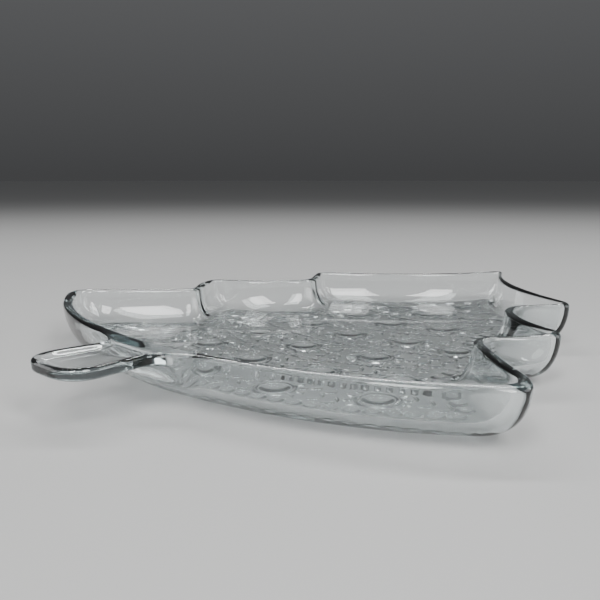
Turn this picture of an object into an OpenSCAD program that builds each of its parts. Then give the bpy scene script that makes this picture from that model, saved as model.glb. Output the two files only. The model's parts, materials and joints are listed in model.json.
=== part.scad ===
// Pressed-glass relish tray in the outline of a fir tree, with a trunk-shaped grip.
// +Z is up, +Y runs from the trunk to the apex, and the origin lies under the middle of the overall box.
// The glass is one pressing: each node is a named zone of it, and neighbouring zones meet face to face.

/* [Tree outline] */
// Length of the tray from the trunk joint to the apex, without the grip
body_len = 290; // [250:1:330]
// Half width across the bottom boughs, before their tips are rounded
half_w = 142; // [127:1:157]
// Length rounded off along each side of a bottom bough's tip
low_tip_cut = 18; // [12:1:26]
// Length rounded off along each side of the middle and upper tips
high_tip_cut = 7; // [4:1:10]
// Length rounded off along each side of a notch between two boughs
notch_cut = 9; // [5:1:12]
// Length rounded off along each side of the apex
apex_cut = 12; // [6:1:18]

/* [Wall] */
// Height of the rim above the surface the tray stands on
rim_h = 22.5; // [19:0.5:28]
// How far the edge of the floor lies inside the rim
floor_inset = 12; // [9:0.5:15]
// Thickness of the glass at the rim
rim_t = 4; // [3:0.5:6]

/* [Floor] */
// Thickness of the floor
floor_t = 4.8; // [3.5:0.1:6]
// Height of the raised ornament under the floor, which the tray stands on
relief_h = 1.4; // [1:0.1:2]

/* [Trunk grip] */
// Reach of the grip beyond the rim
grip_len = 40; // [38:1:50]
// Width of the grip where it meets the rim
grip_neck_w = 31; // [26:1:38]
// Width of the grip at its free end
grip_end_w = 37; // [32:1:44]
// Thickness of the grip at its edge
grip_t = 5; // [4:0.5:6]
// Depth of the shallow dish pressed into the top of the grip
dish_depth = 1.6; // [1:0.1:2]
// How far the top of the grip lies below the rim
grip_drop = 0.7; // [0.5:0.1:2]
// Rounding of the two corners at the free end
grip_corner_cut = 13; // [10:1:15]
// How far each side of the grip flares out where it runs into the wall
grip_flare = 6; // [3:0.5:7]

/* [Ornament] */
// Radius of a round bauble at the floor
bauble_r = 6; // [5:0.5:7]
// Clear gap between a bauble and the ring around it
ring_gap = 1; // [0.6:0.1:1.5]
// Width of the ring around a bauble
ring_w = 1.6; // [1:0.1:2]
// Radius of a garland bead at the floor
bead_r = 1.5; // [1:0.1:1.8]
// Distance between the beads of a garland
bead_pitch = 4.2; // [4:0.1:6]
// Outer radius of the star near the apex
star_r = 10; // [7:0.5:11]
// Length of a ray around a bauble's ring
ray_len = 4; // [3:0.5:5]
// Width of a ray
ray_w = 1.4; // [1:0.1:1.8]
// Radius of a bead of the border at the floor
border_r = 3.2; // [2.5:0.1:3.3]
// Distance of the border's middle line from the edge of the floor
border_inset = 3.6; // [3.4:0.1:4.5]
// Distance between the beads of the border
border_pitch = 7.2; // [7:0.1:10]
// Least gap between two motifs of the ornament
motif_gap = 0.5; // [0.3:0.1:1]

/* [Hidden] */
round_fn = 48;

// Corner points of the half outline, from the trunk to the apex, as shares of half_w and body_len.
// Tips and notches alternate between the trunk point and the apex.
corner_shares = [
    [0, 0], [1, 0.176], [0.635, 0.342], [0.79, 0.45], [0.478, 0.588], [0.61, 0.685], [0, 1],
];
// Bow of each edge: how far along the chord its control point lies, and how far out, as shares of the chord
bow_shares = [[0.57, 0.177], [0.53, -0.06], [0.46, 0.2], [0.52, -0.2], [0.5, 0.06], [0.58, -0.19]];
// A rounded corner takes at most this share of an edge
cut_limit_share = 0.46;
// Change of the rounding for each millimetre that an outline lies inside the rim: tips tighten, notches open
tip_growth_share = -0.6;
notch_growth_share = 0.6;
// A tip keeps at least this share of its rounding at the rim
tip_keep_share = 0.5;
edge_steps = [10, 5, 5, 5, 5, 6];
corner_steps = 8;
curve_steps = 7;
lip_steps = 3;
corner_count = len(corner_shares);
corner_cuts = [0, low_tip_cut, notch_cut, high_tip_cut, notch_cut, high_tip_cut, apex_cut];

// Half outline geometry
function unit(v) = v / norm(v);
function out_normal(a, b) = unit([b[1] - a[1], a[0] - b[0]]);
function mirrored(p) = [-p[0], p[1]];
function bezier(a, c, b, t) = (1 - t) * (1 - t) * a + 2 * t * (1 - t) * c + t * t * b;
function cross_2d(u, v) = u[0] * v[1] - u[1] * v[0];
// Where the line through a along u meets the line through b along v
function meet(a, u, b, v) = a + u * cross_2d(b - a, v) / cross_2d(u, v);

corners = [for (s = corner_shares) [s[0] * half_w, s[1] * body_len]];

// The corner moved inwards so that both its chords move in by the inset
function inset_corner(i, inset) =
    let (
        before = i == 0 ? mirrored(corners[1]) : corners[i - 1],
        after = i == corner_count - 1 ? mirrored(corners[i - 1]) : corners[i + 1],
        n1 = out_normal(before, corners[i]),
        n2 = out_normal(corners[i], after)
    )
    corners[i] - inset * (n1 + n2) / (1 + n1 * n2);

function edge_control(points, e) =
    let (
        along = points[e + 1] - points[e],
        out = [along[1], -along[0]]
    )
    points[e] + along * bow_shares[e][0] + out * bow_shares[e][1];

function edge_point(points, e, t) = bezier(points[e], edge_control(points, e), points[e + 1], t);

function edge_tangent(points, e, t) =
    let (c = edge_control(points, e))
    (1 - t) * (c - points[e]) + t * (points[e + 1] - c);

function is_notch(corner) = corner > 0 && corner % 2 == 0 && corner < corner_count - 1;

function corner_cut(corner, inset) =
    is_notch(corner)
        ? corner_cuts[corner] + inset * notch_growth_share
        : corner_cuts[corner] * max(tip_keep_share, 1 + inset * tip_growth_share / max(corner_cuts[corner], rim_t));

function cut_share(points, e, corner, inset) =
    min(cut_limit_share, corner_cut(corner, inset) / norm(points[e + 1] - points[e]));

function edge_run(points, e, inset) =
    let (
        t0 = cut_share(points, e, e, inset),
        t1 = 1 - cut_share(points, e, e + 1, inset)
    )
    [for (k = [0:edge_steps[e]]) edge_point(points, e, t0 + (t1 - t0) * k / edge_steps[e])];

function corner_run(points, i, inset) =
    let (
        on_axis = i == corner_count - 1,
        t0 = 1 - cut_share(points, i - 1, i, inset),
        t1 = on_axis ? 0 : cut_share(points, i, i, inset),
        a = edge_point(points, i - 1, t0),
        b = on_axis ? mirrored(a) : edge_point(points, i, t1),
        control = on_axis
            ? meet(a, edge_tangent(points, i - 1, t0), [0, 0], [0, 1])
            : meet(a, edge_tangent(points, i - 1, t0), b, edge_tangent(points, i, t1)),
        last = on_axis ? corner_steps / 2 : corner_steps - 1
    )
    [for (k = [1:last]) bezier(a, control, b, k / corner_steps)];

// Right half of the outline at an inset from the rim, from the trunk point on the axis to the apex on the axis
function half_outline(inset) =
    let (points = [for (i = [0:corner_count - 1]) inset_corner(i, inset)])
    [for (e = [0:corner_count - 2]) each concat(edge_run(points, e, inset), corner_run(points, e + 1, inset))];

function full_outline(inset) =
    let (half = half_outline(inset), n = len(half))
    concat(half, [for (k = [n - 2:-1:1]) mirrored(half[k])]);

// Index, along the half outline, of the middle of a corner
function corner_index(i) =
    i == 1 ? edge_steps[0] + corner_steps / 2 : corner_index(i - 1) + edge_steps[i - 1] + corner_steps;

// Overall placement
rim_outline = half_outline(0);
apex_y = max([for (p = rim_outline) p[1]]);
middle_y = (apex_y - grip_len) / 2;

// Wall profile as pairs of inset and height, outside and inside, from the floor up to the lip
lip_r = rim_t / 2;
lip_z = rim_h - lip_r;
floor_z = relief_h + floor_t;
function bowl(k, d0, d1, z0, z1) =
    let (a = 90 * k / curve_steps)
    [d0 + (d1 - d0) * sin(a), z0 + (z1 - z0) * (1 - cos(a))];
function lip(a) = [lip_r - lip_r * cos(a), lip_z + lip_r * sin(a)];
lip_angles = [for (k = [1:lip_steps - 1]) 90 * k / lip_steps];
outside = concat(
    [for (k = [0:curve_steps]) bowl(k, floor_inset, 0, relief_h, lip_z)],
    [for (a = lip_angles) lip(a)]
);
inside = concat(
    [for (k = [0:curve_steps]) bowl(k, floor_inset, rim_t, floor_z, lip_z)],
    [for (a = lip_angles) lip(180 - a)]
);
side_count = len(outside);
profile = concat(outside, [lip(90)], [for (k = [side_count - 1:-1:0]) inside[k]]);
profile_count = len(profile);
rings = [for (q = profile) [for (p = half_outline(q[0])) [p[0], p[1], q[1]]]];

// One stretch of the wall between two stations of the half outline, closed at both ends
module wall_run(first, last) {
    stations = last - first + 1;
    m = profile_count;
    points = [for (i = [first:last]) for (ring = rings) ring[i]];
    sides = [for (s = [0:stations - 2]) for (j = [0:m - 1]) each [
        [s * m + j, s * m + (j + 1) % m, (s + 1) * m + j],
        [s * m + (j + 1) % m, (s + 1) * m + (j + 1) % m, (s + 1) * m + j],
    ]];
    strip = [for (j = [0:side_count - 1]) each j == side_count - 1
        ? [[j, m - 1 - j, side_count]]
        : [[j, m - 1 - j, j + 1], [j + 1, m - 1 - j, m - 2 - j]]];
    far_end = [for (f = strip) [for (k = [2:-1:0]) f[k] + (stations - 1) * m]];
    polyhedron(points, concat(sides, strip, far_end), convexity = 6);
}

module centred() {
    translate([0, -middle_y, 0]) children();
}

first_notch = corner_index(2);
second_notch = corner_index(4);
apex_station = len(rim_outline) - 1;

module glass() {
    color([0.86, 0.94, 0.95, 0.45]) children();
}

module floor_plate() {
    glass() centred() translate([0, 0, relief_h])
        linear_extrude(floor_t) polygon(full_outline(floor_inset));
}

module lower_bough_wall() {
    glass() centred() wall_run(0, first_notch);
}

module middle_bough_wall() {
    glass() centred() wall_run(first_notch, second_notch);
}

module upper_bough_wall() {
    glass() centred() wall_run(second_notch, apex_station);
}

// Trunk grip: a slab with a rounded edge and a dished top, whose root lies on the outside of the wall
grip_edge_r = grip_t / 3;
grip_land_w = grip_t / 2;
grip_flare_len = grip_flare * 2;
grip_z = rim_h - grip_drop - grip_t;
// Levels of the grip from its underside to the bottom of its dish: inset from the edge, and height
grip_levels = [
    [grip_edge_r * 2, 0],
    [grip_edge_r / 2, grip_edge_r / 6],
    [0, grip_edge_r],
    [0, grip_t - grip_edge_r],
    [grip_edge_r / 3, grip_t - grip_edge_r / 4],
    [grip_edge_r, grip_t],
    [grip_edge_r + grip_land_w / 2, grip_t - dish_depth / 6],
    [grip_edge_r + grip_land_w, grip_t - dish_depth / 2],
    [grip_edge_r + grip_land_w * 2, grip_t - dish_depth],
];
grip_steps = 6;
root_steps = 6;

// Inset of the wall's outside at a height, and the place of that outside on a line across the trunk
function outside_inset(z) =
    z > lip_z
        ? lip_r - sqrt(max(0, lip_r * lip_r - (z - lip_z) * (z - lip_z)))
        : floor_inset * (1 - sin(acos(1 - (z - relief_h) / (lip_z - relief_h))));
function outline_y(points, x) =
    let (k = max([for (i = [0:edge_steps[0] - 1]) if (points[i][0] <= x) i]))
    points[k][1] + (points[k + 1][1] - points[k][1]) * (x - points[k][0]) / (points[k + 1][0] - points[k][0]);

function grip_half(inset, front) =
    let (
        neck = grip_neck_w / 2 - inset,
        root_x = neck + grip_flare,
        root = [root_x, outline_y(front, root_x)],
        throat = [neck, -grip_flare_len],
        corner = [grip_end_w / 2 - inset, -grip_len + inset],
        cut = max(grip_corner_cut - inset, grip_edge_r),
        a = corner + cut * unit(throat - corner),
        b = corner - [cut, 0]
    )
    concat(
        [for (k = [0:grip_steps]) bezier(root, [neck, root[1]], throat, k / grip_steps)],
        [for (k = [0:grip_steps]) bezier(a, corner, b, k / grip_steps)]
    );

function grip_ring(level) =
    let (
        front = half_outline(outside_inset(grip_z + level[1])),
        half = grip_half(level[0], front),
        n = len(half),
        root_x = half[0][0],
        seat = [for (k = [1:root_steps - 1]) let (x = root_x * (2 * k / root_steps - 1)) [x, outline_y(front, abs(x))]]
    )
    [for (p = concat(half, [for (k = [n - 1:-1:0]) mirrored(half[k])], seat)) [p[0], p[1], grip_z + level[1]]];

module trunk_grip() {
    grip_rings = [for (level = grip_levels) grip_ring(level)];
    n = len(grip_rings[0]);
    top = len(grip_levels) - 1;
    sides = [for (s = [0:top - 1]) for (j = [0:n - 1]) each [
        [s * n + j, s * n + (j + 1) % n, (s + 1) * n + j],
        [s * n + (j + 1) % n, (s + 1) * n + (j + 1) % n, (s + 1) * n + j],
    ]];
    under = [[for (j = [n - 1:-1:0]) j]];
    over = [[for (j = [0:n - 1]) top * n + j]];
    glass() centred() polyhedron([for (ring = grip_rings) each ring], concat(sides, under, over), convexity = 4);
}

// Raised ornament under the floor. Places are shares of half_w and body_len on the right half;
// those on the axis stand once, the others on both sides.
bauble_shares = [
    [0, 0.103], [0, 0.203], [0, 0.319], [0, 0.438], [0, 0.56], [0, 0.683],
    [0.282, 0.119], [0.549, 0.171], [0.254, 0.222], [0.479, 0.262], [0.268, 0.341],
    [0.22, 0.458], [0.415, 0.458], [0.2, 0.585], [0.183, 0.707],
];
// Each garland hangs across the axis: its right end, and its sag as a share of body_len
garland_shares = [
    [0.65, 0.24, 0.095], [0.46, 0.338, 0.075], [0.55, 0.458, 0.082],
    [0.32, 0.562, 0.062], [0.365, 0.69, 0.07], [0.17, 0.78, 0.035],
];
star_share = 0.807;
star_inner_share = 0.42;
star_points = 5;
ray_count = 14;
// Trim stays this share of the relief clear of the surface that the baubles stand on
trim_lift_share = 0.12;
trim_z = relief_h * trim_lift_share;
trim_h = relief_h - trim_z;
ring_in_r = bauble_r + ring_gap;
ring_out_r = ring_in_r + ring_w;
star_spot = [0, star_share * body_len];

function both(spots) = [for (p = spots) each p[0] < motif_gap ? [[0, p[1]]] : [p, mirrored(p)]];
function is_clear(spot, others, gap) = min([for (p = others) norm(p - spot)]) > gap;

bauble_spots = both([for (s = bauble_shares) [s[0] * half_w, s[1] * body_len]]);

// Distance along a line of points up to each of them, and the spot at a distance
function run_lengths(points) =
    [for (i = 0, d = 0; i < len(points); i = i + 1, d = d + norm(points[min(i, len(points) - 1)] - points[i - 1])) d];
function run_spot(points, lengths, d) =
    let (k = max([for (i = [0:len(lengths) - 2]) if (lengths[i] <= d) i]))
    points[k] + (points[k + 1] - points[k]) * (d - lengths[k]) / (lengths[k + 1] - lengths[k]);

// Border beads stand along the edge of the floor, from the trunk to the apex, wherever they lie within that edge
border_line = half_outline(floor_inset + border_inset);
border_lengths = run_lengths(border_line);
border_len = border_lengths[len(border_line) - 1];
border_count = floor(border_len / border_pitch);
floor_edge = half_outline(floor_inset);
border_run = [for (k = [0:border_count]) run_spot(border_line, border_lengths, border_len * k / border_count)];
border_spots = both([for (p = border_run) if (is_clear(p, floor_edge, border_r)) p]);

// Garland beads stand along parabolas, clear of the border
function garland(g) =
    let (
        end = [g[0] * half_w, g[1] * body_len],
        sag = g[2] * body_len,
        count = floor(norm([end[0], sag]) / bead_pitch)
    )
    [for (k = [0:count]) let (t = k / count) [end[0] * t, end[1] - sag * (1 - t * t)]];
bead_spots = both([for (g = garland_shares) for (p = garland(g))
    if (is_clear(p, border_spots, border_r + bead_r + motif_gap)) p]);

// A ray stands where its whole length is clear of every other motif
ray_r = ring_out_r + motif_gap;
function ray_spot(centre, angle, share) = centre + (ray_r + ray_len * share) * [cos(angle), sin(angle)];
function ray_stands(centre, angle) =
    let (
        clearance = ray_w / 2 + motif_gap,
        others = [for (p = bauble_spots) if (p != centre) p]
    )
    min([for (share = [0, 0.5, 1]) let (p = ray_spot(centre, angle, share))
        is_clear(p, bead_spots, bead_r + clearance)
        && is_clear(p, border_spots, border_r + clearance)
        && is_clear(p, [star_spot], star_r + clearance)
        && is_clear(p, others, ray_r + ray_len / 2 + clearance) ? 1 : 0]) == 1;

module at_spots(spots) {
    glass() centred() for (p = spots) translate(p) children();
}

module bauble_feet() {
    at_spots(bauble_spots) cylinder(h = relief_h, r1 = bauble_r - relief_h, r2 = bauble_r, $fn = round_fn);
}

module bauble_rings() {
    at_spots(bauble_spots) rotate_extrude($fn = round_fn)
        polygon([
            [ring_in_r, relief_h],
            [ring_in_r + ring_w / 4, trim_z],
            [ring_in_r + ring_w * 3 / 4, trim_z],
            [ring_out_r, relief_h],
        ]);
}

module ray() {
    run = ray_len - ray_w;
    translate([ray_r + ray_len / 2, 0, trim_z]) linear_extrude(trim_h) {
        square([run, ray_w], center = true);
        for (end = [-1, 1]) translate([end * run / 2, 0]) circle(d = ray_w, $fn = round_fn);
    }
}

module bauble_rays() {
    for (p = bauble_spots) for (k = [0:ray_count - 1]) {
        angle = 360 * (k + 0.5) / ray_count;
        if (ray_stands(p, angle)) at_spots([p]) rotate(angle) ray();
    }
}

// Cap of a ball that hangs from the floor, with a radius at the floor
module bead(r) {
    ball_r = (r * r + trim_h * trim_h) / (2 * trim_h);
    intersection() {
        translate([0, 0, trim_z + ball_r]) sphere(ball_r, $fn = round_fn);
        cylinder(h = relief_h, r = r * 2, $fn = round_fn);
    }
}

module garland_beads() {
    at_spots(bead_spots) bead(bead_r);
}

module border_beads() {
    at_spots(border_spots) bead(border_r);
}

module apex_star() {
    at_spots([star_spot]) translate([0, 0, trim_z])
        linear_extrude(trim_h) polygon([
            for (k = [0:2 * star_points - 1])
                let (r = k % 2 == 0 ? star_r : star_r * star_inner_share, a = 90 + 180 * k / star_points)
                r * [cos(a), sin(a)]
        ]);
}

floor_plate();
lower_bough_wall();  // lower_bough_wall_right
middle_bough_wall();  // middle_bough_wall_right
upper_bough_wall();  // upper_bough_wall_right
mirror([1, 0, 0]) lower_bough_wall();  // lower_bough_wall_left
mirror([1, 0, 0]) middle_bough_wall();  // middle_bough_wall_left
mirror([1, 0, 0]) upper_bough_wall();  // upper_bough_wall_left
trunk_grip();
bauble_feet();
bauble_rings();
bauble_rays();
garland_beads();
apex_star();
border_beads();
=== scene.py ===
"""Pressed-glass relish tray in the outline of a fir tree: its visual mesh, its finishes and its studio."""
import json
import logging
import math
from dataclasses import dataclass, field
from enum import Enum
from typing import Any, Iterable, Sequence

import bmesh
import bpy
import numpy as np
from mathutils import Matrix, Vector
from mathutils.geometry import delaunay_2d_cdt


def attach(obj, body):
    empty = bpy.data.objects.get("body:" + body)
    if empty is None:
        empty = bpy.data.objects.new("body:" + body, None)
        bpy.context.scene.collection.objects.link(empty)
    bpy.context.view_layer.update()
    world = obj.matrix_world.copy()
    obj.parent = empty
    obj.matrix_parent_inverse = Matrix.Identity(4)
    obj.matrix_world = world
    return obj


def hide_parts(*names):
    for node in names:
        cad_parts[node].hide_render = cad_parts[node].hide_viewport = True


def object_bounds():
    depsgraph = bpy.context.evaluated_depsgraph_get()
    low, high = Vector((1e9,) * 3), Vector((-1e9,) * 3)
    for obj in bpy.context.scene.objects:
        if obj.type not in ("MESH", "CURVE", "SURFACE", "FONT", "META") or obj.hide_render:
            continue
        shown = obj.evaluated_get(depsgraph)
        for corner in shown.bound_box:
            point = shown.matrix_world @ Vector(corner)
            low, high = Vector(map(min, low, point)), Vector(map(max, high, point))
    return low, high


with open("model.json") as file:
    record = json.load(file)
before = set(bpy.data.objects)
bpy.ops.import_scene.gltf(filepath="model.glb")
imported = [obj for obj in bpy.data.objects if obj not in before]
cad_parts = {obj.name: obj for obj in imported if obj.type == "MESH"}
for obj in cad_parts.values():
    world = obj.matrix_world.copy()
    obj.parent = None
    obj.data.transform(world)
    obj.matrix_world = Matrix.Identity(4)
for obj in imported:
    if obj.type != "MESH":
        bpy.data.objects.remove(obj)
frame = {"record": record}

LOG = logging.getLogger("relish_tray")
MM = 0.001
CAD_BOX = [list(corner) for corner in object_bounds()]
ALL_NODES = [entry["node"] for entry in frame["record"]["subparts"]]
UNDERSIDE = "underside"
# Places of the colour sockets on a Mix node, whose names its other data types share.
MIX_LOW, MIX_HIGH, MIX_OUT = 6, 7, 2
# Shares along a stroke at which it is tested, and widths and steps of the points that carry it.
STROKE_SPOTS = (0.0, 0.5, 1.0)
STROKE_WIDTHS = (0.6, 1, 1.25)
STROKE_STEPS = 4
FAN_STEPS = 5
# What the triangulation fills, and how near two points are one.
FILL_INSIDE = 1
FILL_EPSILON = 1e-9

Points = np.ndarray


class Corner(Enum):
    """How the tree's outline turns at one of its corner points."""

    AXIS = "axis"
    TIP = "tip"
    NOTCH = "notch"


def unit(vector: Points) -> Points:
    """Returns the vector at length one."""
    return vector / np.linalg.norm(vector)


def ease(share: Any) -> Any:
    """Returns a share between 0 and 1, eased at both ends."""
    t = np.clip(share, 0, 1)
    return t * t * (3 - 2 * t)


def mirrored(points: Points) -> Points:
    """Returns plan points on the other side of the tree's axis."""
    return points * np.array([-1.0, 1.0])


def bezier(start: Points, control: Points, end: Points, steps: Points) -> Points:
    """Samples a quadratic curve.

    Args:
        start: First point.
        control: Control point.
        end: Last point.
        steps: Parameters between 0 and 1.

    Returns:
        One point per parameter.
    """
    t = np.asarray(steps, float)[:, None]
    return (1 - t) ** 2 * start + 2 * t * (1 - t) * control + t**2 * end


def cross_2d(u: Points, v: Points) -> float:
    """Returns the signed area that two plan vectors span."""
    return float(u[0] * v[1] - u[1] * v[0])


def meet(a: Points, u: Points, b: Points, v: Points) -> Points:
    """Returns the point where the line through a along u meets the line through b along v."""
    return a + u * cross_2d(b - a, v) / cross_2d(u, v)


def nearest(spots: Points, others: Points) -> Points:
    """Returns each spot's distance to the nearest of the other points."""
    return np.min(np.linalg.norm(spots[:, None] - others[None], axis=2), axis=1)


def inside(spots: Points, outline: Points, margin: float) -> Points:
    """Tells which spots lie inside a closed outline, by a margin from its points."""
    crossings = np.zeros(len(spots), int)
    for p, q in zip(outline, np.roll(outline, -1, axis=0)):
        if p[1] != q[1]:
            straddles = (p[1] > spots[:, 1]) != (q[1] > spots[:, 1])
            edge_x = (q[0] - p[0]) * (spots[:, 1] - p[1]) / (q[1] - p[1]) + p[0]
            crossings += straddles & (spots[:, 0] < edge_x)
    held = crossings % 2 == 1
    held[held] = nearest(spots[held], outline) > margin
    return held


def circle(radius: float, count: int) -> Points:
    """Returns evenly spaced plan points on a circle about the origin."""
    angle = np.arange(count) * 2 * math.pi / count
    return np.column_stack([np.cos(angle), np.sin(angle)]) * radius


def along_strokes(strokes: Points, share: float) -> Points:
    """Returns the point at a share of each stroke's length."""
    return strokes[:, 0] + (strokes[:, 1] - strokes[:, 0]) * share


def stroke_points(a: Points, b: Points, half_w: float) -> Points:
    """Lists points that carry a rounded stroke.

    Args:
        a: One end of the stroke's middle line.
        b: Its other end.
        half_w: Half the stroke's width.

    Returns:
        Points on lines along the stroke and on fans at its ends.
    """
    along = unit(b - a)
    side = np.array([-along[1], along[0]])
    steps = np.linspace(0, 1, STROKE_STEPS)[:, None]
    widths = (*(-w for w in reversed(STROKE_WIDTHS)), 0, *STROKE_WIDTHS)
    lines = [a + (b - a) * steps + side * half_w * w for w in widths]
    fan = np.linspace(-math.pi / 2, math.pi / 2, FAN_STEPS)[1:-1]
    ends = []
    for end, way in ((a, -along), (b, along)):
        turns = np.cos(fan)[:, None] * way + np.sin(fan)[:, None] * side
        ends += [end + half_w * width * turns for width in STROKE_WIDTHS]
    return np.concatenate(lines + ends)


@dataclass(frozen=True)
class TreeOutline:
    """Plan of the tray: a half outline from the trunk joint, at the origin, to the apex."""

    body_len: float = 290 * MM
    half_w: float = 142 * MM
    low_tip_cut: float = 18 * MM
    high_tip_cut: float = 7 * MM
    notch_cut: float = 9 * MM
    apex_cut: float = 12 * MM
    least_cut: float = 4 * MM
    corner_shares: tuple[tuple[float, float], ...] = (
        (0, 0), (1, 0.176), (0.635, 0.342), (0.79, 0.45), (0.478, 0.588), (0.61, 0.685), (0, 1),
    )
    bow_shares: tuple[tuple[float, float], ...] = (
        (0.57, 0.177), (0.53, -0.06), (0.46, 0.2), (0.52, -0.2), (0.5, 0.06), (0.58, -0.19),
    )
    cut_limit_share: float = 0.46
    growth_share: float = 0.6
    tip_keep_share: float = 0.5
    edge_steps: tuple[int, ...] = (44, 18, 16, 20, 16, 30)
    corner_steps: int = 16

    def kinds(self) -> list[Corner]:
        """Returns how each corner point turns."""
        inner = [Corner.TIP, Corner.NOTCH] * (len(self.corner_shares) // 2 - 1) + [Corner.TIP]
        return [Corner.AXIS, *inner, Corner.TIP]

    def rim_cuts(self) -> list[float]:
        """Returns the rounding of each corner at the rim."""
        return [0.0, self.low_tip_cut, self.notch_cut, self.high_tip_cut, self.notch_cut,
                self.high_tip_cut, self.apex_cut]

    def place(self, share: Sequence[float]) -> Points:
        """Returns the plan point at shares of the half width and the body length."""
        return np.array([share[0] * self.half_w, share[1] * self.body_len])

    def inset_corners(self, inset: float) -> list[Points]:
        """Moves every corner inwards so that its two chords move in by the inset.

        Args:
            inset: Distance inside the rim.

        Returns:
            The moved corner points.
        """
        corners = [self.place(share) for share in self.corner_shares]
        moved = []
        for i, corner in enumerate(corners):
            before = mirrored(corners[1]) if i == 0 else corners[i - 1]
            after = mirrored(corners[i - 1]) if i == len(corners) - 1 else corners[i + 1]
            n1, n2 = (unit(np.array([d[1], -d[0]])) for d in (corner - before, after - corner))
            moved.append(corner - inset * (n1 + n2) / (1 + n1 @ n2))
        return moved

    def corner_cut(self, i: int, inset: float) -> float:
        """Returns the rounding of corner i at an inset: tips tighten inwards, notches open."""
        cut = self.rim_cuts()[i]
        if self.kinds()[i] is Corner.NOTCH:
            return cut + inset * self.growth_share
        return cut * max(self.tip_keep_share, 1 - inset * self.growth_share / max(cut, self.least_cut))

    def half(self, inset: float) -> Points:
        """Samples the right half of the outline.

        Args:
            inset: Distance inside the rim.

        Returns:
            Plan points from the trunk point on the axis to the apex on the axis.
        """
        corners = self.inset_corners(inset)
        last = len(corners) - 1

        def control(e: int) -> Points:
            """Returns the control point of edge e."""
            along = corners[e + 1] - corners[e]
            run, bow = self.bow_shares[e]
            return corners[e] + along * run + np.array([along[1], -along[0]]) * bow

        def cut(e: int, i: int) -> float:
            """Returns the share of edge e that the rounding of corner i takes."""
            length = np.linalg.norm(corners[e + 1] - corners[e])
            return min(self.cut_limit_share, self.corner_cut(i, inset) / length)

        def on_edge(e: int, steps: Sequence[float]) -> Points:
            """Returns points on edge e."""
            return bezier(corners[e], control(e), corners[e + 1], np.asarray(steps))

        def heading(e: int, t: float) -> Points:
            """Returns the way that edge e runs at a parameter."""
            return (1 - t) * (control(e) - corners[e]) + t * (corners[e + 1] - control(e))

        runs = []
        for e in range(last):
            t0, t1 = cut(e, e), 1 - cut(e, e + 1)
            runs.append(on_edge(e, np.linspace(t0, t1, self.edge_steps[e] + 1)))
            start = runs[-1][-1]
            steps = np.arange(1, self.corner_steps) / self.corner_steps
            if e + 1 == last:
                turn = meet(start, heading(e, t1), np.zeros(2), np.array([0.0, 1.0]))
                runs.append(bezier(start, turn, mirrored(start), steps[: self.corner_steps // 2]))
            else:
                t2 = cut(e + 1, e + 1)
                end = on_edge(e + 1, [t2])[0]
                turn = meet(start, heading(e, t1), end, heading(e + 1, t2))
                runs.append(bezier(start, turn, end, steps))
        return np.vstack(runs)

    def full(self, inset: float) -> Points:
        """Returns the whole closed outline, counter-clockwise seen from above."""
        half = self.half(inset)
        return np.vstack([half, mirrored(half[-2:0:-1])])


@dataclass(frozen=True)
class BowlProfile:
    """Section of the tray's wall: a bowl curve outside and inside, with a round lip."""

    rim_h: float = 22.5 * MM
    floor_inset: float = 12 * MM
    rim_t: float = 4 * MM
    floor_t: float = 4.8 * MM
    relief_h: float = 1.4 * MM
    swell: float = 3 * MM
    swell_half_w: float = 15 * MM
    swell_run: float = 21 * MM
    swell_low_share: float = 0.22
    swell_high_share: float = 0.72
    curve_steps: int = 22
    lip_steps: int = 12

    @property
    def lip_r(self) -> float:
        """Radius of the lip."""
        return self.rim_t / 2

    @property
    def lip_z(self) -> float:
        """Height of the lip's middle."""
        return self.rim_h - self.lip_r

    @property
    def floor_z(self) -> float:
        """Height of the floor's upper face."""
        return self.relief_h + self.floor_t

    def outside_inset(self, z: float) -> float:
        """Returns how far the outside lies inside the rim at a height."""
        if z > self.lip_z:
            return self.lip_r - math.sqrt(max(0.0, self.lip_r**2 - (z - self.lip_z) ** 2))
        rise = (z - self.relief_h) / (self.lip_z - self.relief_h)
        return self.floor_inset * (1 - math.sin(math.acos(1 - rise)))

    def root_swell(self, x: Any, z: float) -> Any:
        """Returns how far the outside swells out towards the grip.

        Args:
            x: Distances from the axis.
            z: Height.

        Returns:
            The swelling at each distance, none at the foot and on top of the lip.
        """
        rise = (z / self.rim_h - self.swell_low_share) / (self.swell_high_share - self.swell_low_share)
        crown = 1 - max(0.0, (z - self.lip_z) / self.lip_r) ** 2
        spread = ease(1 - (np.abs(x) - self.swell_half_w) / self.swell_run)
        return self.swell * ease(rise) * crown * spread

    def section(self) -> list[tuple[float, float]]:
        """Lists the wall's section.

        Returns:
            Pairs of inset and height, from the floor's underside over the lip to the floor's upper face.
        """
        turn = np.linspace(0, math.pi / 2, self.curve_steps + 1)
        rise = self.lip_z - self.relief_h
        outside = [
            (self.floor_inset * (1 - math.sin(a)), self.relief_h + rise * (1 - math.cos(a))) for a in turn
        ]
        lip = [
            (self.lip_r * (1 - math.cos(a)), self.lip_z + self.lip_r * math.sin(a))
            for a in np.linspace(0, math.pi, self.lip_steps + 1)[1:-1]
        ]
        reach, climb = self.rim_t - self.floor_inset, self.lip_z - self.floor_z
        within = [
            (self.floor_inset + reach * math.sin(a), self.floor_z + climb * (1 - math.cos(a)))
            for a in turn[::-1]
        ]
        return outside + lip + within


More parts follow.
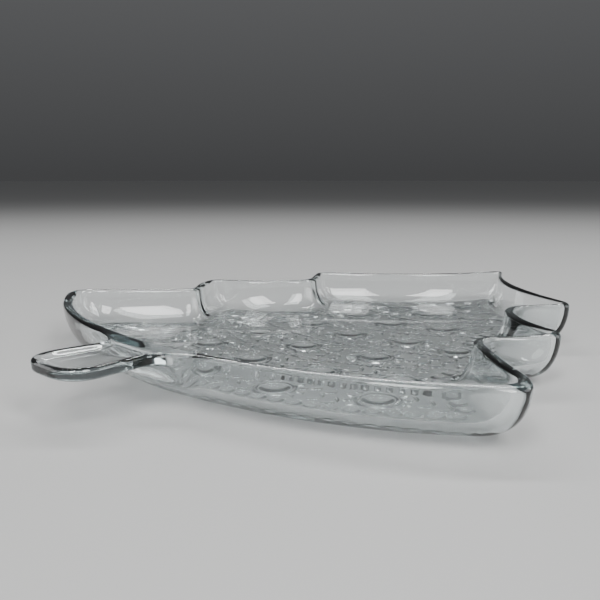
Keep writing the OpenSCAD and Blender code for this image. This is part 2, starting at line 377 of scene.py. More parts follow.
@dataclass(frozen=True)
class Ornament:
    """Raised ornament under the floor: rayed baubles, garlands, a star, fir needles and a beaded border."""

    plan: TreeOutline
    floor_inset: float = 12 * MM
    bauble_r: float = 6 * MM
    ring_gap: float = 1 * MM
    ring_w: float = 1.6 * MM
    bead_r: float = 1.5 * MM
    bead_pitch: float = 4.2 * MM
    trim_h: float = 1.23 * MM
    star_r: float = 10 * MM
    star_points: int = 5
    star_inner_share: float = 0.42
    star_share: float = 0.807
    star_bevel_share: float = 0.25
    star_core_share: float = 0.6
    star_steps: int = 6
    ray_len: float = 4 * MM
    ray_count: int = 14
    stroke_w: float = 1.4 * MM
    border_r: float = 3.2 * MM
    border_inset: float = 3.6 * MM
    border_pitch: float = 7.2 * MM
    motif_gap: float = 0.5 * MM
    needle_len: float = 5 * MM
    needle_pitch: float = 7 * MM
    needle_row: float = 5 * MM
    needle_slant: float = math.radians(38)
    bauble_step: float = 1.1 * MM
    bead_step: float = 0.55 * MM
    border_step: float = 1.2 * MM
    least_sides: int = 6
    bauble_levels: tuple[float, ...] = (0.3, 0.55, 0.75, 0.9, 1)
    ring_levels: tuple[float, ...] = (0, 0.2, 0.5, 0.8, 1)
    bead_levels: tuple[float, ...] = (0.25, 0.5, 0.72, 0.88, 1, 1.15)
    border_levels: tuple[float, ...] = (0.3, 0.6, 0.85, 1, 1.1)
    star_levels: tuple[float, ...] = (0.25, 0.5, 0.7, 0.85, 1, 1.08)
    bauble_shares: tuple[tuple[float, float], ...] = (
        (0, 0.103), (0, 0.203), (0, 0.319), (0, 0.438), (0, 0.56), (0, 0.683),
        (0.282, 0.119), (0.549, 0.171), (0.254, 0.222), (0.479, 0.262), (0.268, 0.341),
        (0.22, 0.458), (0.415, 0.458), (0.2, 0.585), (0.183, 0.707),
    )
    garland_shares: tuple[tuple[float, float, float], ...] = (
        (0.65, 0.24, 0.095), (0.46, 0.338, 0.075), (0.55, 0.458, 0.082),
        (0.32, 0.562, 0.062), (0.365, 0.69, 0.07), (0.17, 0.78, 0.035),
    )

    @property
    def ring_r(self) -> float:
        """Outer radius of the ring around a bauble."""
        return self.bauble_r + self.ring_gap + self.ring_w

    @property
    def star_spot(self) -> Points:
        """Middle of the star."""
        return self.plan.place((0, self.star_share))

    def both(self, spots: Iterable[Points]) -> Points:
        """Returns spots of the right half on both sides, with those on the axis once."""
        out: list[Points] = []
        for spot in spots:
            out += [spot * np.array([0, 1])] if spot[0] < self.motif_gap else [spot, mirrored(spot)]
        return np.array(out)

    def baubles(self) -> Points:
        """Returns the middles of the baubles."""
        return self.both(self.plan.place(share) for share in self.bauble_shares)

    def border(self) -> Points:
        """Returns the middles of the border's beads, wherever a bead lies within the floor's edge."""
        line = self.plan.half(self.floor_inset + self.border_inset)
        edge = self.plan.half(self.floor_inset)
        lengths = np.concatenate([[0], np.cumsum(np.linalg.norm(np.diff(line, axis=0), axis=1))])
        count = math.floor(lengths[-1] / self.border_pitch)
        along = np.linspace(0, lengths[-1], count + 1)
        spots = np.column_stack([np.interp(along, lengths, line[:, axis]) for axis in (0, 1)])
        return self.both(spots[nearest(spots, edge) > self.border_r])

    def beads(self) -> Points:
        """Returns the middles of the garlands' beads, clear of the border."""
        spots = []
        for x_share, y_share, sag_share in self.garland_shares:
            end = self.plan.place((x_share, y_share))
            sag = sag_share * self.plan.body_len
            t = np.linspace(0, 1, math.floor(math.hypot(end[0], sag) / self.bead_pitch) + 1)
            spots.append(np.column_stack([end[0] * t, end[1] - sag * (1 - t * t)]))
        spots = np.concatenate(spots)
        gap = self.border_r + self.bead_r + self.motif_gap
        return self.both(spots[nearest(spots, self.border()) > gap])

    def clear_strokes(self, strokes: Points, baubles: Points, bauble_gap: float) -> Points:
        """Keeps the strokes that are clear of beads, border, star and baubles over their whole length.

        Args:
            strokes: Pairs of end points.
            baubles: Middles of the baubles to keep clear of.
            bauble_gap: Distance to keep from them.

        Returns:
            The pairs that stand.
        """
        gap = self.stroke_w / 2 + self.motif_gap
        free = np.ones(len(strokes), bool)
        for share in STROKE_SPOTS:
            spots = along_strokes(strokes, share)
            free &= nearest(spots, self.beads()) > self.bead_r + gap
            free &= nearest(spots, self.border()) > self.border_r + gap
            free &= nearest(spots, self.star_spot[None]) > self.star_r + gap
            free &= nearest(spots, baubles) > bauble_gap + gap
        return strokes[free]

    def rays(self) -> Points:
        """Returns the middle lines of the rays around the baubles, as pairs of end points."""
        start = self.ring_r + self.motif_gap
        angle = 2 * math.pi * (np.arange(self.ray_count) + 0.5) / self.ray_count
        ways = np.column_stack([np.cos(angle), np.sin(angle)])
        cap = self.stroke_w / 2
        baubles = self.baubles()
        out = []
        for i, spot in enumerate(baubles):
            strokes = spot + np.stack([ways * (start + cap), ways * (start + self.ray_len - cap)], axis=1)
            others = np.delete(baubles, i, axis=0)
            out.append(self.clear_strokes(strokes, others, start + self.ray_len / 2))
        return np.concatenate(out)

    def needles(self) -> Points:
        """Returns fir needles in a herringbone that fills the free ground, as pairs of end points."""
        outline = self.plan.full(self.floor_inset + self.border_inset)
        strokes = []
        for row, y in enumerate(np.arange(0, self.plan.body_len, self.needle_row)):
            slant = self.needle_slant if row % 2 else -self.needle_slant
            reach = np.array([math.cos(slant), math.sin(slant)]) * (self.needle_len - self.stroke_w) / 2
            for x in np.arange(self.needle_pitch / 2, self.plan.half_w, self.needle_pitch):
                strokes.append((np.array([x, y]) - reach, np.array([x, y]) + reach))
        right = np.array(strokes)
        right = right[inside(right.mean(axis=1), outline, self.border_r)]
        right = self.clear_strokes(right, self.baubles(), self.ring_r)
        rays = self.rays()
        ray_spots = np.concatenate([along_strokes(rays, share) for share in STROKE_SPOTS])
        apart = np.min([nearest(along_strokes(right, share), ray_spots) for share in STROKE_SPOTS], axis=0)
        right = right[apart > self.stroke_w + self.motif_gap]
        return np.concatenate([right, mirrored(right)])

    def strokes(self) -> Points:
        """Returns all rays and needles."""
        return np.concatenate([self.rays(), self.needles()])

    def star(self) -> Points:
        """Returns the star's outline."""
        turns = np.arange(2 * self.star_points)
        angle = math.pi / 2 + math.pi * turns / self.star_points
        radius = np.where(turns % 2 == 0, self.star_r, self.star_r * self.star_inner_share)
        return self.star_spot + np.column_stack([np.cos(angle), np.sin(angle)]) * radius[:, None]

    def mesh_points(self) -> tuple[Points, Points]:
        """Lists where the underside needs vertices to carry the ornament.

        Returns:
            The plan points, and circles as rows of x, y and radius that a coarser grid keeps out of.
        """
        points, keep_out = [], []

        def round_motif(spots: Points, radii: Sequence[float], step: float) -> None:
            """Adds the middles and the circles of round motifs."""
            for spot in spots:
                points.append(spot[None])
                for r in radii:
                    points.append(spot + circle(r, max(self.least_sides, round(2 * math.pi * r / step))))
                keep_out.append((*spot, radii[-1]))

        ring = self.ring_r - self.ring_w + self.ring_w * np.array(self.ring_levels)
        bauble = self.bauble_r * np.array(self.bauble_levels)
        round_motif(self.baubles(), [*bauble, *ring, self.ring_r + self.motif_gap], self.bauble_step)
        round_motif(self.beads(), self.bead_r * np.array(self.bead_levels), self.bead_step)
        round_motif(self.border(), self.border_r * np.array(self.border_levels), self.border_step)
        for a, b in self.strokes():
            points.append(stroke_points(a, b, self.stroke_w / 2))
            keep_out += [(*(a + (b - a) * share), self.stroke_w) for share in STROKE_SPOTS]
        steps = np.arange(self.star_steps)[:, None] / self.star_steps
        for level in self.star_levels:
            corners = self.star_spot + (self.star() - self.star_spot) * level
            points.extend(a + (b - a) * steps for a, b in zip(corners, np.roll(corners, -1, axis=0)))
        keep_out.append((*self.star_spot, self.star_r * self.star_core_share))
        return np.concatenate(points), np.array(keep_out)


class Sock:
    """A node socket whose arithmetic adds Math nodes to its tree."""

    def __init__(self, bench: "NodeBench", socket: bpy.types.NodeSocket) -> None:
        """Wraps a socket of a bench's tree."""
        self.bench = bench
        self.socket = socket

    def math(self, operation: str, *others: Any) -> "Sock":
        """Adds a Math node.

        Args:
            operation: The node's operation.
            others: Values or wrapped sockets for its further inputs.

        Returns:
            The node's wrapped result.
        """
        node = self.bench.node("ShaderNodeMath", {"operation": operation})
        for slot, value in zip(node.inputs, (self, *others)):
            self.bench.plug(slot, value)
        return Sock(self.bench, node.outputs[0])

    def __add__(self, other: Any) -> "Sock":
        """Adds a value."""
        return self.math("ADD", other)

    __radd__ = __add__

    def __sub__(self, other: Any) -> "Sock":
        """Takes a value off."""
        return self.math("SUBTRACT", other)

    def __rsub__(self, other: Any) -> "Sock":
        """Takes this off a value."""
        return self.math("MULTIPLY", -1.0).math("ADD", other)

    def __mul__(self, other: Any) -> "Sock":
        """Multiplies by a value."""
        return self.math("MULTIPLY", other)

    __rmul__ = __mul__

    def __truediv__(self, other: Any) -> "Sock":
        """Divides by a value."""
        return self.math("DIVIDE", other)

    def __rtruediv__(self, other: Any) -> "Sock":
        """Divides a value by this."""
        return self.math("POWER", -1.0) * other

    def clamp(self) -> "Sock":
        """Keeps the value between 0 and 1."""
        return self.math("MAXIMUM", 0.0).math("MINIMUM", 1.0)

    def dome(self) -> "Sock":
        """Turns a distance in radii into the height of a cap: 1 in the middle, 0 from one radius on."""
        return (1.0 - self * self).math("MAXIMUM", 0.0)

    def cushion(self) -> "Sock":
        """Turns a distance in radii into the height of a cushion, which is fuller than a cap."""
        return (self * self).dome()

    def larger(self, other: Any) -> "Sock":
        """Returns the larger of two values."""
        return self.math("MAXIMUM", other)


class NodeBench:
    """A node tree under construction."""

    def __init__(self, tree: bpy.types.NodeTree) -> None:
        """Takes the tree that nodes go into."""
        self.tree = tree

    def plug(self, slot: bpy.types.NodeSocket, value: Any) -> None:
        """Sets a socket to a value, or links a wrapped socket to it."""
        if isinstance(value, Sock):
            self.tree.links.new(value.socket, slot)
        else:
            slot.default_value = value

    def node(self, kind: str, settings: dict[str, Any] | None = None, **sockets: Any) -> bpy.types.Node:
        """Adds a node.

        Args:
            kind: The node's type name.
            settings: Properties set before the sockets.
            sockets: Values or wrapped sockets by input name, with underscores for spaces.

        Returns:
            The node.
        """
        node = self.tree.nodes.new(kind)
        for key, value in (settings or {}).items():
            setattr(node, key, value)
        for key, value in sockets.items():
            self.plug(node.inputs[key.replace("_", " ")], value)
        return node

    def out(
        self, kind: str, output: str | int, settings: dict[str, Any] | None = None, **sockets: Any
    ) -> Sock:
        """Adds a node and wraps one of its outputs, given by name or place; see node."""
        return Sock(self, self.node(kind, settings, **sockets).outputs[output])

    def mix(self, factor: Sock, low: Sequence[float], high: Sequence[float]) -> Sock:
        """Blends two colours.

        Args:
            factor: Share of the second colour.
            low: The first colour.
            high: The second colour.

        Returns:
            The wrapped colour.
        """
        node = self.node("ShaderNodeMix", {"data_type": "RGBA"}, Factor=factor)
        self.plug(node.inputs[MIX_LOW], low)
        self.plug(node.inputs[MIX_HIGH], high)
        return Sock(self, node.outputs[MIX_OUT])


@dataclass(frozen=True)
class GlassFinish:
    """Clear fire-polished pressed glass, faintly blue-green in its thick edges."""

    name: str = "clear_pressed_glass"
    tint: tuple[float, float, float, float] = (0.975, 0.993, 0.995, 1)
    haze_tint: tuple[float, float, float, float] = (0.94, 0.965, 0.97, 1)
    depth_colour: tuple[float, float, float, float] = (0.55, 0.86, 0.88, 1)
    depth_density: float = 8.0
    ior: float = 1.5
    polish: float = 0.004
    smudge: float = 0.035
    film_scale: float = 38.0
    film_detail: float = 5.0
    film_roughness: float = 0.62
    film_start: float = 0.52
    film_gain: float = 5.0
    chill_size: float = 0.018
    chill_height: float = 0.00012
    chill_detail: float = 1.5
    chill_strength: float = 0.5

    def build(self) -> bpy.types.Material:
        """Builds the material.

        Returns:
            A material on Object coordinates, with absorption inside the glass.
        """
        material = bpy.data.materials.new(self.name)
        material.use_nodes = True
        bench = NodeBench(material.node_tree)
        bench.tree.nodes.clear()
        spot = bench.out("ShaderNodeTexCoord", "Object")
        film = bench.out(
            "ShaderNodeTexNoise", "Fac", Vector=spot, Scale=self.film_scale,
            Detail=self.film_detail, Roughness=self.film_roughness,
        )
        haze = ((film - self.film_start) * self.film_gain).clamp()
        wave = bench.out(
            "ShaderNodeTexNoise", "Fac", Vector=spot, Scale=1 / self.chill_size, Detail=self.chill_detail
        )
        bump = bench.out(
            "ShaderNodeBump", "Normal", Height=wave, Strength=self.chill_strength, Distance=self.chill_height
        )
        shader = bench.out(
            "ShaderNodeBsdfPrincipled", 0, Base_Color=bench.mix(haze, self.tint, self.haze_tint),
            Roughness=haze * self.smudge + self.polish, Normal=bump, IOR=self.ior, Transmission_Weight=1.0,
        )
        depth = bench.out(
            "ShaderNodeVolumeAbsorption", 0, Color=self.depth_colour, Density=self.depth_density
        )
        bench.node("ShaderNodeOutputMaterial", Surface=shader, Volume=depth)
        return material


@dataclass(frozen=True)
class FloorFinish:
    """Plain pale matt board."""

    name: str = "pale_board"
    pale: tuple[float, float, float, float] = (0.33, 0.33, 0.327, 1)
    shade: tuple[float, float, float, float] = (0.31, 0.31, 0.307, 1)
    grain_scale: float = 6.0
    roughness: float = 0.6

    def build(self) -> bpy.types.Material:
        """Returns the board's material."""
        material = bpy.data.materials.new(self.name)
        material.use_nodes = True
        bench = NodeBench(material.node_tree)
        shader = bench.tree.nodes["Principled BSDF"]
        spot = bench.out("ShaderNodeTexCoord", "Object")
        grain = bench.out("ShaderNodeTexNoise", "Fac", Vector=spot, Scale=self.grain_scale)
        bench.plug(shader.inputs["Base Color"], bench.mix(grain, self.pale, self.shade))
        bench.plug(shader.inputs["Roughness"], self.roughness)
        return material


def mesh_object(
    name: str, points: Points, edges: Iterable[Sequence[int]] = (), faces: Iterable[Sequence[int]] = ()
) -> bpy.types.Object:
    """Makes a linked mesh object at the origin.

    Args:
        name: The object's name.
        points: Vertex positions.
        edges: Loose edges.
        faces: Faces.

    Returns:
        The object.
    """
    mesh = bpy.data.meshes.new(name)
    mesh.from_pydata([tuple(map(float, p)) for p in points], list(edges), list(faces))
    mesh.update()
    piece = bpy.data.objects.new(name, mesh)
    bpy.context.collection.objects.link(piece)
    return piece


def discard(piece: bpy.types.Object) -> None:
    """Removes a helper object and its mesh."""
    mesh = piece.data
    bpy.data.objects.remove(piece)
    bpy.data.meshes.remove(mesh)


def bake(piece: bpy.types.Object) -> None:
    """Replaces an object's mesh by its evaluated one and drops its modifiers."""
    depsgraph = bpy.context.evaluated_depsgraph_get()
    mesh = bpy.data.meshes.new_from_object(piece.evaluated_get(depsgraph))
    old = piece.data
    piece.modifiers.clear()
    piece.data = mesh
    mesh.name = piece.name
    bpy.data.meshes.remove(old)


@dataclass
class ReliefPress:
    """Geometry Nodes tree that presses the ornament out of the underside of the floor."""

    ornament: Ornament
    profile: BowlProfile
    material: bpy.types.Material
    touch: float = 1e-6
    helpers: dict[str, bpy.types.Object] = field(default_factory=dict)

    def lay_out(self) -> None:
        """Makes the helper meshes that the tree measures distances to."""
        z = self.profile.relief_h

        def raised(plan: Points) -> Points:
            """Returns plan points at the height of the floor's underside."""
            return np.column_stack([plan, np.full(len(plan), z)])

        for name, spots in (("Baubles", self.ornament.baubles()), ("Beads", self.ornament.beads()),
                            ("Border", self.ornament.border())):
            self.helpers[name] = mesh_object(name, raised(spots))
        flat = raised(self.ornament.strokes().reshape(-1, 2))
        self.helpers["Strokes"] = mesh_object("Strokes", flat, [(k, k + 1) for k in range(0, len(flat), 2)])
        star = self.ornament.star()
        count = len(star)
        fan = [(k, (k + 1) % count, count) for k in range(count)]
        self.helpers["Star"] = mesh_object("Star", raised(np.vstack([star, star.mean(axis=0)])), (), fan)
        rim = [(k, (k + 1) % count) for k in range(count)]
        self.helpers["Star Rim"] = mesh_object("Star Rim", raised(star), rim)

    def sizes(self) -> dict[str, float]:
        """Returns the tree's named sizes."""
        o = self.ornament
        return {
            "Bauble Radius": o.bauble_r, "Foot Height": self.profile.relief_h,
            "Ring Middle": o.ring_r - o.ring_w / 2, "Ring Half Width": o.ring_w / 2,
            "Bead Radius": o.bead_r, "Border Radius": o.border_r, "Stroke Half Width": o.stroke_w / 2,
            "Star Bevel": o.star_r * o.star_bevel_share, "Trim Height": o.trim_h,
        }

    def tree(self) -> bpy.types.NodeTree:
        """Builds the tree.

        Returns:
            A tree with the helper objects and the sizes as named inputs.
        """
        tree = bpy.data.node_groups.new("relief_press", "GeometryNodeTree")
        tree.interface.new_socket("Geometry", in_out="INPUT", socket_type="NodeSocketGeometry")
        for name in self.helpers:
            tree.interface.new_socket(name, in_out="INPUT", socket_type="NodeSocketObject")
        for name in self.sizes():
            tree.interface.new_socket(name, in_out="INPUT", socket_type="NodeSocketFloat")
        tree.interface.new_socket("Geometry", in_out="OUTPUT", socket_type="NodeSocketGeometry")
        bench = NodeBench(tree)
        entry = bench.node("NodeGroupInput")

        def given(name: str) -> Sock:
            """Returns one of the tree's inputs."""
            return Sock(bench, entry.outputs[name])

        def distance(name: str, element: str) -> Sock:
            """Returns the distance to a helper's points, edges or faces."""
            source = bench.out("GeometryNodeObjectInfo", "Geometry", Object=given(name))
            settings = {"target_element": element}
            return bench.out("GeometryNodeProximity", "Distance", settings, Geometry=source)

        bauble = distance("Baubles", "POINTS")
        foot = (bauble / given("Bauble Radius")).cushion()
        ring = ((bauble - given("Ring Middle")) / given("Ring Half Width")).dome()
        bead = (distance("Beads", "POINTS") / given("Bead Radius")).dome()
        border = (distance("Border", "POINTS") / given("Border Radius")).cushion()
        stroke = (distance("Strokes", "EDGES") / given("Stroke Half Width")).dome()
        inside_star = distance("Star", "FACES").math("LESS_THAN", self.touch)
        star = (distance("Star Rim", "EDGES") / given("Star Bevel")).clamp() * inside_star
        trim = ring.larger(bead).larger(stroke).larger(star) * given("Trim Height")
        lift = (foot.larger(border) * given("Foot Height")).larger(trim) * -1.0
        under = bench.out(
            "GeometryNodeInputNamedAttribute", "Attribute", {"data_type": "BOOLEAN"}, Name=UNDERSIDE
        )
        moved = bench.out(
            "GeometryNodeSetPosition", 0, Geometry=given("Geometry"), Selection=under,
            Offset=bench.out("ShaderNodeCombineXYZ", 0, Z=lift),
        )
        real = bench.out("GeometryNodeRealizeInstances", 0, Geometry=moved)
        dressed = bench.out("GeometryNodeSetMaterial", 0, Geometry=real, Material=self.material)
        bench.plug(bench.node("NodeGroupOutput").inputs[0], dressed)
        return tree

    def press(self, piece: bpy.types.Object) -> None:
        """Presses the relief into a mesh whose underside vertices are marked, and drops the helpers."""
        self.lay_out()
        modifier = piece.modifiers.new("relief", "NODES")
        tree = self.tree()
        modifier.node_group = tree
        for item in tree.interface.items_tree:
            if item.in_out == "INPUT" and item.name in self.helpers:
                modifier[item.identifier] = self.helpers[item.name]
            elif item.in_out == "INPUT" and item.name in self.sizes():
                modifier[item.identifier] = self.sizes()[item.name]
        bake(piece)
        for helper in self.helpers.values():
            discard(helper)
        bpy.data.node_groups.remove(tree)


@dataclass
class TrunkGrip:
    """The dished grip at rim height, modelled with its root inside the wall so that it joins the tray."""

    plan: TreeOutline
    profile: BowlProfile
    length: float = 40 * MM
    neck_w: float = 31 * MM
    end_w: float = 37 * MM
    thick: float = 5 * MM
    dish_depth: float = 1.6 * MM
    drop: float = 0.7 * MM
    corner_cut: float = 15.5 * MM
    flare: float = 10 * MM
    flare_len: float = 10 * MM
    root_start: float = 0.3 * MM
    root_depth: float = 1.6 * MM
    thick_per_edge: float = 3
    slope_parts: float = 10
    steps: int = 20
    edge_steps: int = 7
    dish_steps: int = 9
    side_steps: int = 8

    @property
    def edge(self) -> float:
        """Radius of the rounded edge."""
        return self.thick / self.thick_per_edge

    def levels(self) -> list[tuple[float, float]]:
        """Returns pairs of inset and height from the underside over the edge to the bottom of the dish."""
        edge = self.edge
        turn = np.linspace(0, math.pi / 2, self.edge_steps)
        under = [(edge * 2 * (1 - math.sin(a)), edge * (1 - math.cos(a))) for a in turn]
        over = [(edge * (1 - math.cos(a)), self.thick - edge * (1 - math.sin(a))) for a in turn]
        fall = np.linspace(0, 1, self.dish_steps)[1:]
        dish = [(edge + self.thick * t, self.thick - self.dish_depth * ease(t)) for t in fall]
        return under + over + dish

    def ring(self, inset: float, height: float) -> Points:
        """Samples the grip's outline at one level.

        Args:
            inset: Distance inside the grip's edge.
            height: Height above the grip's underside.

        Returns:
            A closed ring of points, from the swollen wall round the free end and back inside the wall.
        """
        z = self.profile.rim_h - self.drop - self.thick + height
        front = self.plan.half(self.profile.outside_inset(z))[: self.plan.edge_steps[0]]

        def wall_y(x: Any) -> Any:
            """Returns where the swollen wall stands at distances from the axis."""
            return np.interp(np.abs(x), front[:, 0], front[:, 1]) - self.profile.root_swell(x, z)

        neck = self.neck_w / 2 - inset
        root = np.array([neck + self.flare, wall_y(neck + self.flare) + self.root_start])
        inward = root[0] - self.flare / self.slope_parts
        fall = self.slope_parts * (root[1] - self.root_start - wall_y(inward))
        throat = np.array([neck, -self.flare_len])
        corner = np.array([self.end_w / 2 - inset, inset - self.length])
        steps = np.linspace(0, 1, self.steps + 1)
        cut = max(self.corner_cut - inset, self.edge)
        a = corner + cut * unit(throat - corner)
        b = corner - np.array([cut, 0])
        straight = throat + (a - throat) * np.linspace(0, 1, self.side_steps)[1:-1, None]
        flare = bezier(root, np.array([neck, root[1] - fall]), throat, steps)
        half = np.vstack([flare, straight, bezier(a, corner, b, steps)])
        x = np.linspace(-root[0], root[0], 2 * self.steps + 1)
        seat = np.column_stack([x, wall_y(x) + self.root_depth])
        ring = np.vstack([half, mirrored(half[::-1]), seat])
        return np.column_stack([ring, np.full(len(ring), z)])

    def build(self) -> bpy.types.Object:
        """Returns the grip as a closed mesh."""
        rings = [self.ring(inset, height) for inset, height in self.levels()]
        count = len(rings[0])
        faces: list[tuple[int, ...]] = []
        for s in range(len(rings) - 1):
            for j in range(count):
                k = (j + 1) % count
                faces.append((s * count + j, (s + 1) * count + j, (s + 1) * count + k, s * count + k))
        faces.append(tuple(range(count)))
        faces.append(tuple(range(len(rings) * count - 1, (len(rings) - 1) * count - 1, -1)))
        return mesh_object("trunk_grip_glass", np.vstack(rings), (), faces)


@dataclass
class GlassTray:
    """The whole pressing: flared wall, floor with its relief, and the grip, as one closed glass mesh."""

    plan: TreeOutline
    profile: BowlProfile
    ornament: Ornament
    grip: TrunkGrip
    finish: GlassFinish
    trunk_y: float
    name: str = "pressed_glass_tray"
    grid: float = 2.2 * MM
    top_grid: float = 9 * MM
    weld: float = 0.01 * MM
    sliver: float = 0.001 * MM
    crease_share: float = 0.5
    crease: float = math.radians(40)

    def floor_faces(self, outline: Points, inner: Points) -> tuple[Points, list[tuple[int, ...]]]:
        """Fills an outline with triangles.

        Args:
            outline: The closed boundary.
            inner: Points inside it that become vertices.

        Returns:
            Plan vertices, and faces that look up.
        """
        count = len(outline)
        points = [Vector(p) for p in np.vstack([outline, inner])]
        loop = [(k, (k + 1) % count) for k in range(count)]
        verts, _, faces, *_ = delaunay_2d_cdt(points, loop, [], FILL_INSIDE, FILL_EPSILON)
        return np.array([tuple(v) for v in verts]), [tuple(f) for f in faces]

    def grid_points(self, outline: Points, pitch: float, keep_out: Points) -> Points:
        """Lays a triangular grid inside an outline.

        Args:
            outline: The closed boundary.
            pitch: Distance between grid points.
            keep_out: Circles, as rows of x, y and radius, that stay empty.

        Returns:
            The grid points.
        """
        low, high = outline.min(axis=0), outline.max(axis=0)
        rows = np.arange(low[1], high[1], pitch * math.sqrt(3) / 2)
        spots = [(x + (pitch / 2 if k % 2 else 0), y) for k, y in enumerate(rows)
                 for x in np.arange(low[0], high[0], pitch)]
        grid = np.array(spots)
        grid = grid[inside(grid, outline, pitch / 2)]
        for x, y, radius in keep_out:
            grid = grid[np.hypot(grid[:, 0] - x, grid[:, 1] - y) > radius]
        return grid

    def body(self) -> bpy.types.Object:
        """Builds the wall and the floor as one closed mesh.

        Returns:
            The object, with its underside vertices marked for the relief.
        """
        rings = []
        outer = self.profile.curve_steps + self.profile.lip_steps // 2
        for s, (inset, z) in enumerate(self.profile.section()):
            ring = self.plan.full(inset)
            if s <= outer:
                front = ring[:, 1] < self.plan.body_len * self.plan.corner_shares[1][1]
                ring[front, 1] -= self.profile.root_swell(ring[front, 0], z)
            rings.append(np.column_stack([ring, np.full(len(ring), z)]))
        count = len(rings[0])
        points = [np.vstack(rings)]
        faces: list[tuple[int, ...]] = []
        for s in range(len(rings) - 1):
            for j in range(count):
                k = (j + 1) % count
                faces.append((s * count + j, s * count + k, (s + 1) * count + k, (s + 1) * count + j))
        edge = self.plan.full(self.profile.floor_inset)
        carved, keep_out = self.ornament.mesh_points()
        carved = carved[inside(carved, edge, self.weld)]
        grid = self.grid_points(edge, self.grid, keep_out)
        plain = self.grid_points(edge, self.top_grid, np.empty((0, 3)))
        marks = [np.zeros(len(points[0]), bool)]
        levels = (
            (np.vstack([carved, grid]), self.profile.relief_h, False), (plain, self.profile.floor_z, True),
        )
        for inner, z, looks_up in levels:
            flat, fill = self.floor_faces(edge, inner)
            start = sum(map(len, points))
            points.append(np.column_stack([flat, np.full(len(flat), z)]))
            marks.append(np.full(len(flat), not looks_up))
            faces += [tuple(start + i for i in (f if looks_up else f[::-1])) for f in fill]
        piece = mesh_object(self.name, np.vstack(points), (), faces)
        under = piece.data.attributes.new(UNDERSIDE, "BOOLEAN", "POINT")
        under.data.foreach_set("value", np.concatenate(marks))
        self.weld_up(piece)
        return piece

    def weld_up(self, piece: bpy.types.Object) -> None:
        """Merges vertices within the weld distance, cuts faces into triangles and drops slivers."""
        form = bmesh.new()
        form.from_mesh(piece.data)
        bmesh.ops.remove_doubles(form, verts=form.verts, dist=self.weld)
        bmesh.ops.triangulate(form, faces=form.faces)
        bmesh.ops.dissolve_degenerate(form, dist=self.sliver, edges=form.edges)
        form.to_mesh(piece.data)
        form.free()

    def join(self, piece: bpy.types.Object, grip: bpy.types.Object) -> None:
        """Unites the grip with the tray."""
        self.weld_up(grip)
        union = piece.modifiers.new("join", "BOOLEAN")
        union.operation = "UNION"
        union.solver = "MANIFOLD"
        union.object = grip
        bake(piece)
        discard(grip)
        self.weld_up(piece)

    def trim_to_box(self, piece: bpy.types.Object) -> None:
        """Moves vertices that the finer curves put outside the CAD box, by a hair, onto it."""
        spots = np.empty(3 * len(piece.data.vertices), np.float32)
        piece.data.vertices.foreach_get("co", spots)
        spots = np.clip(spots.reshape(-1, 3), *np.array(CAD_BOX, np.float32))
        piece.data.vertices.foreach_set("co", spots.ravel())
        piece.data.update()

    def shade(self, piece: bpy.types.Object) -> None:
        """Shades the glass smooth, apart from the creases between the grip and the wall."""
        piece.data.shade_smooth()
        form = bmesh.new()
        form.from_mesh(piece.data)
        for edge in form.edges:
            high = min(v.co.z for v in edge.verts) > self.profile.rim_h * self.crease_share
            edge.smooth = not (high and edge.is_manifold and edge.calc_face_angle() > self.crease)
        form.to_mesh(piece.data)
        form.free()

    def build(self) -> bpy.types.Object:
        """Builds and dresses the tray.

        Returns:
            The finished piece.
        """
        glass = self.finish.build()
        piece = self.body()
        ReliefPress(self.ornament, self.profile, glass).press(piece)
        self.join(piece, self.grip.build())
        piece.data.transform(Matrix.Translation((0, self.trunk_y, 0)))
        self.trim_to_box(piece)
        piece.data.materials.clear()
        piece.data.materials.append(glass)
        self.shade(piece)
        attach(piece, "root")
        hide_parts(*ALL_NODES)
        return piece


@dataclass(frozen=True)
class Softbox:
    """A rectangular light that faces the middle of the tray."""

    name: str
    place: tuple[float, float, float]
    size: tuple[float, float]
    power: float

    def build(self) -> None:
        """Adds the light to the scene."""
        lamp = bpy.data.lights.new(self.name, "AREA")
        lamp.shape = "RECTANGLE"
        lamp.size, lamp.size_y = self.size
        lamp.energy = self.power
        box = bpy.data.objects.new(self.name, lamp)
        box.location = self.place
        box.rotation_euler = (-Vector(self.place)).to_track_quat("-Z", "Y").to_euler()
        bpy.context.collection.objects.link(box)


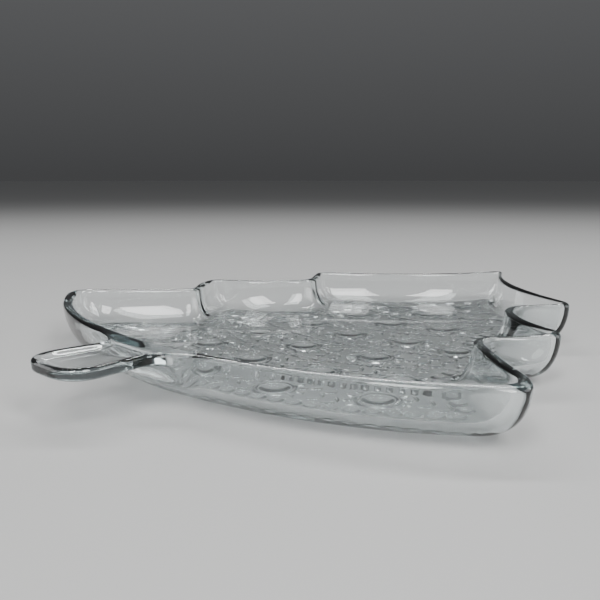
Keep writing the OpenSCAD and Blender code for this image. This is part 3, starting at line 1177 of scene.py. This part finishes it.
@dataclass(frozen=True)
class Studio:
    """Pale floor, soft light and the camera at the photograph's angle."""

    trunk_y: float
    azimuth: float = math.radians(43.43)
    elevation: float = math.radians(9.94)
    distance: float = 369.7 * MM
    target: tuple[float, float, float] = (-20.4 * MM, 111.4 * MM, 22.5 * MM)
    lens: float = 43.16
    sensor: float = 36.0
    clip_start: float = 0.01
    floor_r: float = 9.0
    floor_sides: int = 96
    floor_finish: FloorFinish = FloorFinish()
    world_low: tuple[float, float, float, float] = (0.06, 0.061, 0.063, 1)
    world_high: tuple[float, float, float, float] = (0.18, 0.183, 0.188, 1)
    world_strength: float = 1.0
    horizon_gain: float = 1.6
    softboxes: tuple[Softbox, ...] = (
        Softbox("left_softbox", (0.296, -0.734, 0.764), (0.32, 0.75), 12),
        Softbox("right_softbox", (0.777, -0.151, 0.764), (0.32, 0.75), 12),
        Softbox("back_strip", (-0.45, 0.48, 1.0), (1.6, 0.08), 14),
        Softbox("left_panel", (-0.869, -0.811, 0.386), (0.9, 0.7), 5),
        Softbox("right_panel", (0.869, 0.811, 0.386), (0.9, 0.7), 5),
    )

    def floor(self) -> bpy.types.Object:
        """Returns the floor."""
        ring = circle(self.floor_r, self.floor_sides)
        flat = np.column_stack([ring, np.zeros(len(ring))])
        board = mesh_object("floor_board", flat, (), [tuple(range(len(ring)))])
        board.data.materials.append(self.floor_finish.build())
        return board

    def world(self) -> None:
        """Sets a plain soft surround, darker near the horizon."""
        world = bpy.data.worlds.new("soft_surround")
        world.use_nodes = True
        bench = NodeBench(world.node_tree)
        bench.tree.nodes.clear()
        way = bench.out("ShaderNodeTexCoord", "Generated")
        height = bench.out("ShaderNodeSeparateXYZ", "Z", Vector=way)
        colour = bench.mix((height * self.horizon_gain).clamp(), self.world_low, self.world_high)
        glow = bench.out("ShaderNodeBackground", 0, Color=colour, Strength=self.world_strength)
        bench.node("ShaderNodeOutputWorld", Surface=glow)
        bpy.context.scene.world = world

    def camera(self) -> bpy.types.Object:
        """Returns the camera, set as the scene's."""
        sin_a, cos_a = math.sin(self.azimuth), math.cos(self.azimuth)
        sin_e, cos_e = math.sin(self.elevation), math.cos(self.elevation)
        back = Vector((sin_a * cos_e, -cos_a * cos_e, sin_e))
        right = Vector((cos_a, sin_a, 0))
        up = back.cross(right)
        lens = bpy.data.cameras.new("photo_view")
        lens.lens = self.lens
        lens.sensor_width = self.sensor
        lens.clip_start = self.clip_start
        eye = bpy.data.objects.new("photo_view", lens)
        aim = Vector(self.target) + Vector((0, self.trunk_y, 0))
        turn = Matrix((right, up, back)).transposed().to_4x4()
        eye.matrix_world = Matrix.Translation(aim + back * self.distance) @ turn
        bpy.context.collection.objects.link(eye)
        bpy.context.scene.camera = eye
        return eye

    def build(self) -> None:
        """Builds the floor, the light and the camera."""
        self.camera()
        self.floor()
        self.world()
        for softbox in self.softboxes:
            softbox.build()


def main() -> None:
    """Builds the studio and the tray."""
    logging.basicConfig(level=logging.INFO, format="%(name)s: %(message)s")
    plan = TreeOutline()
    profile = BowlProfile()
    grip = TrunkGrip(plan, profile)
    trunk_y = CAD_BOX[0][1] + grip.length
    Studio(trunk_y).build()
    tray = GlassTray(plan, profile, Ornament(plan), grip, GlassFinish(), trunk_y).build()
    LOG.info("%s: %d vertices, %d faces", tray.name, len(tray.data.vertices), len(tray.data.polygons))


if __name__ == "__main__":
    main()
